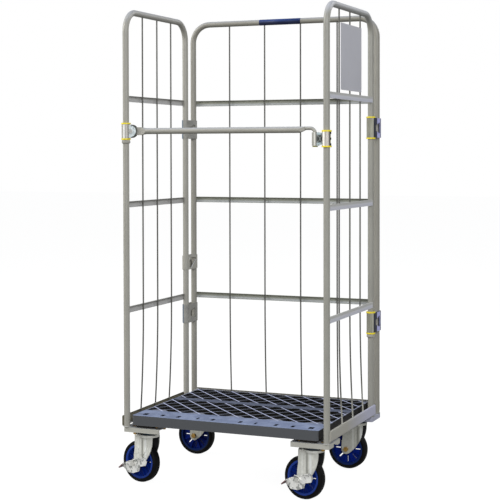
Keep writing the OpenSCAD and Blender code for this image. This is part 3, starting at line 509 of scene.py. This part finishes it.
def pressed_fork(name, crease, tone, shade):
    """Zinc-plated fork: creased and bright outside, with painted shade in the crease, painted highlights on
    the ridge and lip and painted shade on the crown; duller and darkened by painted shade on the sides that
    face the wheel.

    crease is where the valley runs, as a share of the fork's length.
    """
    painted_crease_shade = rgb(0.17, 0.17, 0.145)
    painted_ridge_highlight = rgb(0.95, 0.97, 0.95)
    painted_inner_shade = rgb(0.014, 0.014, 0.016)
    painted_crown_shade = rgb(0.04, 0.06, 0.08)
    ridge_line = crease + 0.14
    lip_line = crease - 0.2
    f = Finish(name)
    spangle = f.patches(150.0, 3.0, 0.3, 0.7)
    cloud = f.patches(26.0, 4.0, 0.35, 0.65)
    along, across, height = f.axes(f.box_place())
    outward = f.axes(f.facing())[1] * (across - 0.5)
    inside = f.spread(outward, -0.02, -0.2) * f.spread(height, 0.97, 0.9)
    crown = f.spread(height, 0.985, 0.995)
    below = f.spread(height, 0.98, 0.8)
    valley = f.spread(abs(along - crease), 0.06, 0.02) * below
    ridge = f.spread(abs(along - ridge_line), 0.07, 0.02) * below
    lip = f.spread(abs(along - lip_line), 0.05, 0.01) * below
    colour = f.blend(spangle * 0.5 + cloud * 0.5, shade, tone)
    # painted shade in the crease
    colour = f.blend(valley * 0.7, colour, painted_crease_shade)
    # painted highlights on the ridge and lip
    colour = f.blend(ridge * 0.7 + lip * 0.35, colour, painted_ridge_highlight)
    # painted shade on the sides that face the wheel
    colour = f.blend(inside, colour, painted_inner_shade)
    # painted shade on the crown
    colour = f.blend(crown * 0.6, colour, painted_crown_shade)
    return f.surface(
        Base_Color=colour,
        Metallic=0.3 - 0.25 * inside,
        Roughness=0.36 + 0.14 * cloud + 0.2 * inside,
        Normal=f.bump(ridge - valley + 0.1 * f.noise(600.0, 3.0), 0.8 * MM, 0.6),
    )


def stamped_pedal():
    """Bright zinc pedal with painted dark reflections in its dents, whose tread end is dipped: red above,
    black along its edge.
    """
    tone = rgb(0.95, 0.95, 0.92)
    shade = rgb(0.78, 0.78, 0.75)
    painted_dent_reflection = rgb(0.20, 0.21, 0.20)
    black = rgb(0.012, 0.012, 0.013)
    red = rgb(0.42, 0.012, 0.02)
    dent_scale = 75.0
    f = Finish("pedal_zinc")
    spangle = f.patches(150.0, 3.0, 0.3, 0.7)
    tread = f.spread(f.axes(f.box_place())[0], 0.2, 0.12)
    upper = f.spread(f.axes(f.facing())[2], -0.1, 0.3)
    dent = f.patches(dent_scale, 1.0, 0.52, 0.6)
    plated = f.blend(spangle, shade, tone)
    # painted dark reflections in the dents
    plated = f.blend(dent * 0.75, plated, painted_dent_reflection)
    dipped = f.blend(upper, black, red)
    return f.surface(
        Base_Color=f.blend(tread, plated, dipped),
        Metallic=0.35 - 0.35 * tread,
        Roughness=0.3 + 0.12 * spangle,
        Normal=f.grain(dent_scale, 1.0, 1.5 * MM, 0.7),
    )


# ---------- plastic, rubber and film ----------

def moulded_plastic(name, tone, shade, gloss):
    """Injection-moulded plastic with a fine grain and slight colour drift."""
    f = Finish(name)
    drift = f.patches(11.0, 4.0, 0.3, 0.7)
    return f.surface(
        Base_Color=f.blend(drift, shade, tone),
        Roughness=gloss + 0.10 * drift,
        Normal=f.grain(1200.0, 3.0, 0.08 * MM, 0.7),
    )


def wheel_core(name, node, tone, shade, rim_tone):
    """Nylon core: deep colour on the spokes, and a rubbed rim next to the tyre."""
    rim_from, rim_full = 53 * MM, 56 * MM
    f = Finish(name)
    low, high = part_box(node)
    centre = [(a + b) / 2 for a, b in zip(low, high)]
    drift = f.patches(30.0, 4.0, 0.3, 0.7)
    rim = f.spread(f.distance(f.place(), centre), rim_from, rim_full)
    return f.surface(
        Base_Color=f.blend(rim, f.blend(drift, tone, shade), rim_tone),
        Roughness=0.42 + 0.1 * drift,
        Specular_IOR_Level=0.12,
        Normal=f.grain(1100.0, 3.0, 0.08 * MM, 0.7),
    )


def deck_plastic():
    """Grey-blue polypropylene, glossier on top and raw grey in front; its blue top is partly its own colour
    and partly a painted sky sheen, the black in its cells is painted shade, and the bright ribs carry a
    painted highlight.
    """
    painted_cell_shade = rgb(0.006, 0.0055, 0.005)
    front_grey = rgb(0.078, 0.082, 0.089)
    blue = rgb(0.195, 0.24, 0.385)
    blue_shade = rgb(0.165, 0.205, 0.33)
    patch_blue = rgb(0.30, 0.36, 0.53)
    band_dark = rgb(0.06, 0.072, 0.115)
    rib_dull = rgb(0.19, 0.21, 0.28)
    painted_rib_highlight = rgb(0.46, 0.50, 0.70)
    scuffed = rgb(0.42, 0.44, 0.52)
    # how far the front's grey reaches back, and how far the painted rib highlight goes past a rib's edge
    front_depth = 5 * MM
    spill = 0.4 * MM
    f = Finish("deck_plastic")
    x, y, _ = f.axes(f.place())
    top = f.spread(f.axes(f.facing())[2], 0.6, 0.95)
    front = y.below(deck_low[1] + front_depth)
    drift = f.patches(9.0, 4.0, 0.3, 0.7)
    patch = f.patches(22.0, 5.0, 0.45, 0.6)
    scuff = f.patches(120.0, 6.0, 0.55, 0.72)

    def ribs(first, shift):
        """1 along the ribs that run from the rear left to the front right."""
        off_rib = abs(((x + y) / PITCH - (MID_X + first) / PITCH - shift + 0.5).fraction() - 0.5)
        return off_rib.below((RIB_W / 2 + spill) * math.sqrt(2) / PITCH)

    rear = y.above(BAND_REAR - 1 * MM)
    front_ribs = ribs(LATTICE_FRONT + FRONT_FIELD_START, 0.0) * (1 - rear)
    rear_ribs = ribs(BAND_REAR + REAR_FIELD_START, 0.5) * rear
    highlit_ribs = front_ribs + rear_ribs
    band = y.above(BAND_FRONT) * y.below(BAND_REAR)
    lattice = y.above(LATTICE_FRONT) * (1 - band)

    # painted shade on the cell walls and every other face that doesn't look up, save the front
    side_tone = f.blend(front, painted_cell_shade, front_grey)
    # the top's blue is partly the plastic's own colour and partly a painted sky sheen
    top_tone = f.blend(drift, blue_shade, blue)
    top_tone = f.blend(patch * 0.5 * (1 - lattice), top_tone, patch_blue)
    top_tone = f.blend(band * 0.85, top_tone, band_dark)
    top_tone = f.blend(lattice * (1 - highlit_ribs), top_tone, rib_dull)
    # painted highlight on the ribs that run from the rear left to the front right
    top_tone = f.blend(lattice * highlit_ribs, top_tone, painted_rib_highlight)
    colour = f.blend(top, side_tone, top_tone)
    colour = f.blend(scuff * 0.15 * top, colour, scuffed)
    return f.surface(
        Base_Color=colour,
        Roughness=0.5 - 0.1 * top + 0.1 * drift,
        Specular_IOR_Level=0.25,
        Normal=f.grain(850.0, 3.0, 0.1 * MM, 0.7),
    )


def tyre_rubber():
    """Black rubber with a fine grain and a dusty bloom."""
    black = rgb(0.0025, 0.0025, 0.003)
    dusty = rgb(0.018, 0.017, 0.016)
    f = Finish("tyre_rubber")
    dust = f.patches(45.0, 5.0, 0.5, 0.75)
    return f.surface(
        Base_Color=f.blend(dust * 0.3, black, dusty),
        Roughness=0.6 + 0.2 * dust,
        Specular_IOR_Level=0.12,
        Normal=f.grain(1500.0, 2.0, 0.1 * MM, 0.6),
    )


def label_film():
    """A bare glossy label: blue along its upper half and navy below."""
    navy_blue = rgb(0.006, 0.009, 0.035)
    blue = rgb(0.02, 0.055, 0.22)
    cloud_blue = rgb(0.02, 0.04, 0.13)
    f = Finish("label_film")
    upper = f.spread(f.axes(f.place())[2], TOP_Z - 3 * MM, TOP_Z + 9 * MM)
    cloud = f.patches(20.0, 3.0, 0.35, 0.65)
    colour = f.blend(upper, navy_blue, blue)
    colour = f.blend(cloud * 0.15, colour, cloud_blue)
    return f.surface(
        Base_Color=colour,
        Roughness=0.5 + 0.05 * cloud,
        Specular_IOR_Level=0.25,
        Normal=f.grain(400.0, 2.0, 0.02 * MM, 0.2),
    )


# ---------- which part wears which finish ----------

# one finish for every material slot
slot_finish = {
    "paint": powder_coat("frame_paint", rgb(0.385, 0.375, 0.332), rgb(0.355, 0.345, 0.305)),
    "card": powder_coat("card_plate_paint", rgb(0.505, 0.505, 0.55), rgb(0.475, 0.475, 0.52), 0.5),
    "zinc": zinc_plate("bright_zinc", rgb(0.80, 0.79, 0.75), rgb(0.60, 0.60, 0.57), 0.3, 0.8),
    "gold_bolt": zinc_plate("yellow_zinc", rgb(0.60, 0.38, 0.11), rgb(0.24, 0.13, 0.035), 0.24, 0.9),
    # the dark_steel slot's near-black blue is painted shade in the gap between the caster bracket and the
    # fork crown
    "dark_steel": zinc_plate("race_steel_in_painted_shade", rgb(0.05, 0.10, 0.15), rgb(0.02, 0.03, 0.05), 0.35, 0.6),
    "bush": moulded_plastic("yellow_nylon", rgb(0.93, 0.78, 0.03), rgb(0.86, 0.68, 0.02), 0.34),
    "liner": moulded_plastic("olive_nylon", rgb(0.27, 0.25, 0.012), rgb(0.2, 0.19, 0.01), 0.4),
    "pad": moulded_plastic("pad_rubber", rgb(0.022, 0.016, 0.011), rgb(0.014, 0.011, 0.008), 0.6),
    "deck": deck_plastic(),
    "tyre": tyre_rubber(),
}

front_fork = pressed_fork("front_fork_zinc", 0.42, rgb(0.80, 0.80, 0.74), rgb(0.62, 0.62, 0.57))
rear_fork = pressed_fork("rear_fork_zinc", 0.7, rgb(0.60, 0.60, 0.54), rgb(0.45, 0.45, 0.40))
pedal_zinc = stamped_pedal()
bracket_paint = powder_coat("bracket_paint", rgb(0.46, 0.455, 0.405), rgb(0.42, 0.415, 0.37))
rod_paint = rod_coat("rod_paint", 0.0)

# parts whose finish differs from their slot's
own_finish = {
    "back_rods": rod_paint,
    "left_rods": rod_paint,
    "right_rods": rod_coat("right_rod_paint", 0.9),
    # in each bar finish, dark is the painted shade under the top lip and bright the painted highlight on the
    # lower lip
    "back_cross_bars": pressed_bar(
        "back_bar_paint",
        dark=rgb(0.20, 0.205, 0.16),
        middle=rgb(0.30, 0.31, 0.27),
        bright=rgb(0.44, 0.455, 0.46),
    ),
    "left_cross_bars": pressed_bar(
        "left_bar_paint",
        dark=rgb(0.31, 0.305, 0.285),
        middle=rgb(0.455, 0.45, 0.435),
        bright=rgb(0.465, 0.46, 0.455),
    ),
    # the right bars' paler, bluer copy of the bar paint is painted cool light on the panel's outer side
    "right_cross_bars": pressed_bar(
        "right_bar_paint",
        dark=rgb(0.46, 0.46, 0.44),
        middle=rgb(0.59, 0.59, 0.64),
        bright=rgb(0.54, 0.55, 0.62),
    ),
    # the back tube wears a darker copy of the frame paint: painted shade
    "back_frame_tube": powder_coat("back_tube_shaded_paint", rgb(0.31, 0.30, 0.26), rgb(0.28, 0.27, 0.235)),
    "left_frame_tube": powder_coat(
        "left_tube_paint",
        rgb(0.385, 0.375, 0.332),
        rgb(0.355, 0.345, 0.305),
        crest=0.12,
    ),
    "right_frame_tube": powder_coat(
        "right_tube_paint",
        rgb(0.345, 0.34, 0.30),
        rgb(0.315, 0.31, 0.275),
        crest=0.4,
    ),
    # the left rail wears a dark olive copy of the paint: painted shade on its inner web
    "left_bottom_rail": powder_coat("left_rail_paint", rgb(0.17, 0.155, 0.11), rgb(0.14, 0.13, 0.09), 0.45),
    "right_bottom_rail": outer_rail(),
    "left_tie_brackets": tie_paint(),
    "hinge_straps": hinge_zinc(),
    "catch_sleeve": catch_zinc(),
    "gate_sleeve": gate_zinc(),
    "front_left_bracket": bracket_paint,
    "front_right_bracket": bracket_paint,
    "rear_left_bracket": bracket_paint,
    # a bluer copy of the bracket paint: painted cool light on the rear right bracket
    "rear_right_bracket": powder_coat(
        "rear_right_bracket_paint",
        rgb(0.40, 0.41, 0.52),
        rgb(0.36, 0.37, 0.47),
    ),
    "pedal_front_left": pedal_zinc,
    "pedal_front_right": pedal_zinc,
}

# a wheel core's tone, its shade and its rim
royal_core = (rgb(0.001, 0.019, 0.21), rgb(0.001, 0.010, 0.12), rgb(0.018, 0.048, 0.27))
navy_core = (rgb(0.001, 0.017, 0.23), rgb(0.001, 0.010, 0.14), rgb(0.006, 0.02, 0.11))
casters = {
    "front_left": (front_fork, royal_core),
    "front_right": (front_fork, royal_core),
    "rear_left": (rear_fork, navy_core),
    "rear_right": (rear_fork, navy_core),
}
for corner, (fork, core) in casters.items():
    own_finish["fork_" + corner] = fork
    own_finish["core_" + corner] = wheel_core("core_nylon_" + corner, "core_" + corner, *core)

for part in record["subparts"]:
    shown = frame["nodes"][part["node"]]
    for holder in shown.material_slots:
        holder.material = own_finish.get(part["node"]) or slot_finish[part["material_slot"]]


# ---------- pieces added to the parts ----------

def add_piece(name, work, material, body):
    """Turns the worked mesh into a smooth piece that rides on a body."""
    mesh = bpy.data.meshes.new(name)
    bmesh.ops.recalc_face_normals(work, faces=work.faces[:])
    work.to_mesh(mesh)
    work.free()
    for face in mesh.polygons:
        face.use_smooth = True
    mesh.materials.append(material)
    piece = bpy.data.objects.new(name, mesh)
    bpy.context.collection.objects.link(piece)
    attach(piece, body)


def weld_bead(work, place, seed):
    """A closed bead of weld around the foot of a tube; seed sets how its toe wavers."""
    radius = TUBE_R + 0.8 * MM
    thick = 1.5 * MM
    rise = 1.4 * MM
    around, section = 48, 10
    dice = random.Random(seed)
    rows = []
    for i in range(around):
        turn = 2 * math.pi * i / around
        swell = 1 + 0.12 * math.sin(9 * turn + seed) + dice.uniform(-0.06, 0.06)
        row = []
        for j in range(section):
            roll = 2 * math.pi * j / section
            out = radius + thick * swell * math.cos(roll)
            row.append(work.verts.new((
                place[0] + out * math.cos(turn),
                place[1] + out * math.sin(turn),
                place[2] + rise * swell * (1 + math.sin(roll)),
            )))
        rows.append(row)
    for i, row in enumerate(rows):
        after = rows[(i + 1) % around]
        for j in range(section):
            k = (j + 1) % section
            work.faces.new((row[j], after[j], after[k], row[k]))


def add_foot_welds():
    """Beads where the upright tubes stand on the caster brackets."""
    weld = powder_coat("weld_paint", rgb(0.47, 0.46, 0.40), rgb(0.42, 0.41, 0.36), 0.45)
    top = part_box("front_left_bracket")[1][2] + 0.1 * MM
    fixed_feet = (
        (LEFT_X, FRONT_Y),
        (LEFT_X, REAR_Y),
        (back_low[0] + TUBE_R, BACK_Y),
        (back_high[0] - TUBE_R, BACK_Y),
    )
    work = bmesh.new()
    for seed, (x, y) in enumerate(fixed_feet):
        weld_bead(work, (x, y, top), seed)
    add_piece("frame_foot_welds", work, weld, "frame")
    work = bmesh.new()
    weld_bead(work, (RIGHT_X, FRONT_Y, top), seed=7)
    add_piece("right_foot_weld", work, weld, "right_panel")


def add_rod_welds():
    """Small bright welds where the rods meet the bottom rails."""
    weld = powder_coat("rod_weld_paint", rgb(0.50, 0.49, 0.43), rgb(0.42, 0.41, 0.36), 0.4)
    height = 2.6 * MM
    dice = random.Random(3)
    for panel, count, body in (("left", 3, "frame"), ("right", 3, "right_panel"), ("back", 4, "frame")):
        low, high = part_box(panel + "_rods")
        rail_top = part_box(panel + "_bottom_rail")[1][2]
        # the rods of the back panel stand in a row along x, those of the side panels along y
        run = 0 if panel == "back" else 1
        first, last = low[run] + ROD_R, high[run] - ROD_R
        across = {"left": low[0] + ROD_R, "right": high[0] - ROD_R, "back": high[1] - ROD_R}[panel]
        work = bmesh.new()
        for i in range(count):
            along = first + i * (last - first) / (count - 1)
            x, y = (along, across) if run == 0 else (across, along)
            size = dice.uniform(3.6, 4.4) * MM
            blob = bmesh.ops.create_icosphere(work, subdivisions=2, radius=1.0)["verts"]
            for vert in blob:
                vert.co = Vector((x + vert.co.x * size, y + vert.co.y * size, rail_top + vert.co.z * height))
        add_piece(panel + "_rod_welds", work, weld, body)


def add_label():
    """A film wrapped around the underside, front and top of the back panel's top tube."""
    left_end, right_end = MID_X - 93 * MM, MID_X + 76 * MM
    inner, outer = TUBE_R + 0.05 * MM, TUBE_R + 0.35 * MM
    # degrees around the tube, counted from its front side upwards
    start, sweep = -110, 200
    steps = 28
    work = bmesh.new()
    loops = []
    for x in (left_end, right_end):
        for radius in (inner, outer):
            loop = []
            for i in range(steps + 1):
                turn = math.radians(start + sweep * i / steps)
                y = BACK_Y - radius * math.cos(turn)
                z = TOP_Z + radius * math.sin(turn)
                loop.append(work.verts.new((x, y, z)))
            loops.append(loop)
    left_in, left_out, right_in, right_out = loops
    for i in range(steps):
        work.faces.new((left_out[i], left_out[i + 1], right_out[i + 1], right_out[i]))
        work.faces.new((left_in[i], right_in[i], right_in[i + 1], left_in[i + 1]))
        work.faces.new((left_in[i], left_in[i + 1], left_out[i + 1], left_out[i]))
        work.faces.new((right_in[i], right_out[i], right_out[i + 1], right_in[i + 1]))
    for i in (0, steps):
        work.faces.new((left_in[i], left_out[i], right_out[i], right_in[i]))
    add_piece("top_label", work, label_film(), "frame")


# ---------- floor, light and camera ----------

def set_the_stage():
    """A pale floor that shows white and throws only a little light back."""
    white = rgb(1, 1, 1)
    thrown_back = rgb(0.25, 0.25, 0.24)
    half_width = 30
    drop = 0.5 * MM
    f = Finish("pale_floor")
    seen = f.node("ShaderNodeLightPath", out="Is Camera Ray")
    mirrored = f.node("ShaderNodeLightPath", out="Is Glossy Ray")
    pale = f.blend(f.patches(60.0, 4.0, 0.3, 0.7), rgb(0.8, 0.8, 0.8), rgb(0.82, 0.82, 0.82))
    f.surface(Base_Color=f.blend(seen, thrown_back, pale), Roughness=0.9)
    glow = f.node("ShaderNodeEmission", None, {"Color": white, "Strength": 1.12})
    mixed = f.nodes.new("ShaderNodeMixShader")
    f.feed(mixed.inputs[0], seen * 0.85 + mirrored * 0.3)
    f.links.new(f.shader.outputs[0], mixed.inputs[1])
    f.links.new(glow.socket, mixed.inputs[2])
    f.links.new(mixed.outputs[0], f.output.inputs[0])
    mesh = bpy.data.meshes.new("floor")
    work = bmesh.new()
    bmesh.ops.create_grid(work, x_segments=1, y_segments=1, size=half_width)
    work.to_mesh(mesh)
    work.free()
    floor = bpy.data.objects.new("floor", mesh)
    floor.location.z = cad_box[0][2] - drop
    mesh.materials.append(f.material)
    bpy.context.collection.objects.link(floor)


def set_the_sky():
    """Soft, cool light from all around, and plain white behind the cage."""
    world = bpy.data.worlds.new("studio")
    bpy.context.scene.world = world
    world.use_nodes = True
    nodes, links = world.node_tree.nodes, world.node_tree.links
    nodes.clear()
    path = nodes.new("ShaderNodeLightPath")
    soft = nodes.new("ShaderNodeBackground")
    soft.inputs["Color"].default_value = rgb(0.93, 0.96, 1.0)
    soft.inputs["Strength"].default_value = 0.3
    white = nodes.new("ShaderNodeBackground")
    white.inputs["Color"].default_value = rgb(1, 1, 1)
    white.inputs["Strength"].default_value = 1.0
    mixed = nodes.new("ShaderNodeMixShader")
    out = nodes.new("ShaderNodeOutputWorld")
    links.new(path.outputs["Is Camera Ray"], mixed.inputs[0])
    links.new(soft.outputs[0], mixed.inputs[1])
    links.new(white.outputs[0], mixed.inputs[2])
    links.new(mixed.outputs[0], out.inputs[0])


def lamp(name, place, target, size, power, colour):
    """A rectangular lamp at a place, turned towards its target."""
    light = bpy.data.lights.new(name, "AREA")
    light.shape = "RECTANGLE"
    light.size, light.size_y = size
    light.energy = power
    light.color = colour
    holder = bpy.data.objects.new(name, light)
    holder.location = place
    aim = Vector(target) - Vector(place)
    holder.rotation_euler = aim.to_track_quat("-Z", "Y").to_euler()
    bpy.context.collection.objects.link(holder)


def set_the_lamps():
    # name, place, target, width and height in metres, watts, colour
    lamp("key", (-4.8, -2.0, 3.8), (0, 0, 0.8), (3.0, 3.0), 280, (1.0, 0.99, 0.97))
    lamp("fill", (3.5, -5.0, 3.1), (0, 0, 0.9), (2.4, 3.4), 250, (0.98, 0.985, 1.0))
    lamp("rear", (3.4, 4.6, 4.2), (0, 0, 0.8), (3.0, 3.0), 90, (0.97, 0.98, 1.0))
    lamp("top", (0.0, 0.0, 8.0), (0, 0, 0), (4.5, 4.5), 75, (0.93, 0.96, 1.0))


def set_the_camera():
    """The camera stands in front of the cage and to its right, at two thirds of its height."""
    # turned to the left, dipped a little and hardly leaning
    turn = math.radians(22.573)
    dip = math.radians(1.372)
    lean = math.radians(-0.109)
    spot = Vector((MID_X + 1.8184, FRONT_Y - 4.1319, 1.1879))
    away = Vector((-math.sin(turn) * math.cos(dip), math.cos(turn) * math.cos(dip), -math.sin(dip)))
    level = Vector((math.cos(turn), math.sin(turn), 0))
    upright = level.cross(away)
    across = math.cos(lean) * level + math.sin(lean) * upright
    up = math.cos(lean) * upright - math.sin(lean) * level
    lens = bpy.data.cameras.new("camera")
    lens.sensor_width = 36
    lens.lens = 94.19
    lens.shift_x = -0.0004
    lens.shift_y = -0.1327
    lens.clip_end = 100
    holder = bpy.data.objects.new("camera", lens)
    turned = Matrix((across, up, -away)).transposed().to_4x4()
    holder.matrix_world = Matrix.Translation(spot) @ turned
    bpy.context.collection.objects.link(holder)
    bpy.context.scene.camera = holder


add_foot_welds()
add_rod_welds()
add_label()
set_the_stage()
set_the_sky()
set_the_lamps()
set_the_camera()
bpy.context.scene.view_settings.view_transform = "Standard"
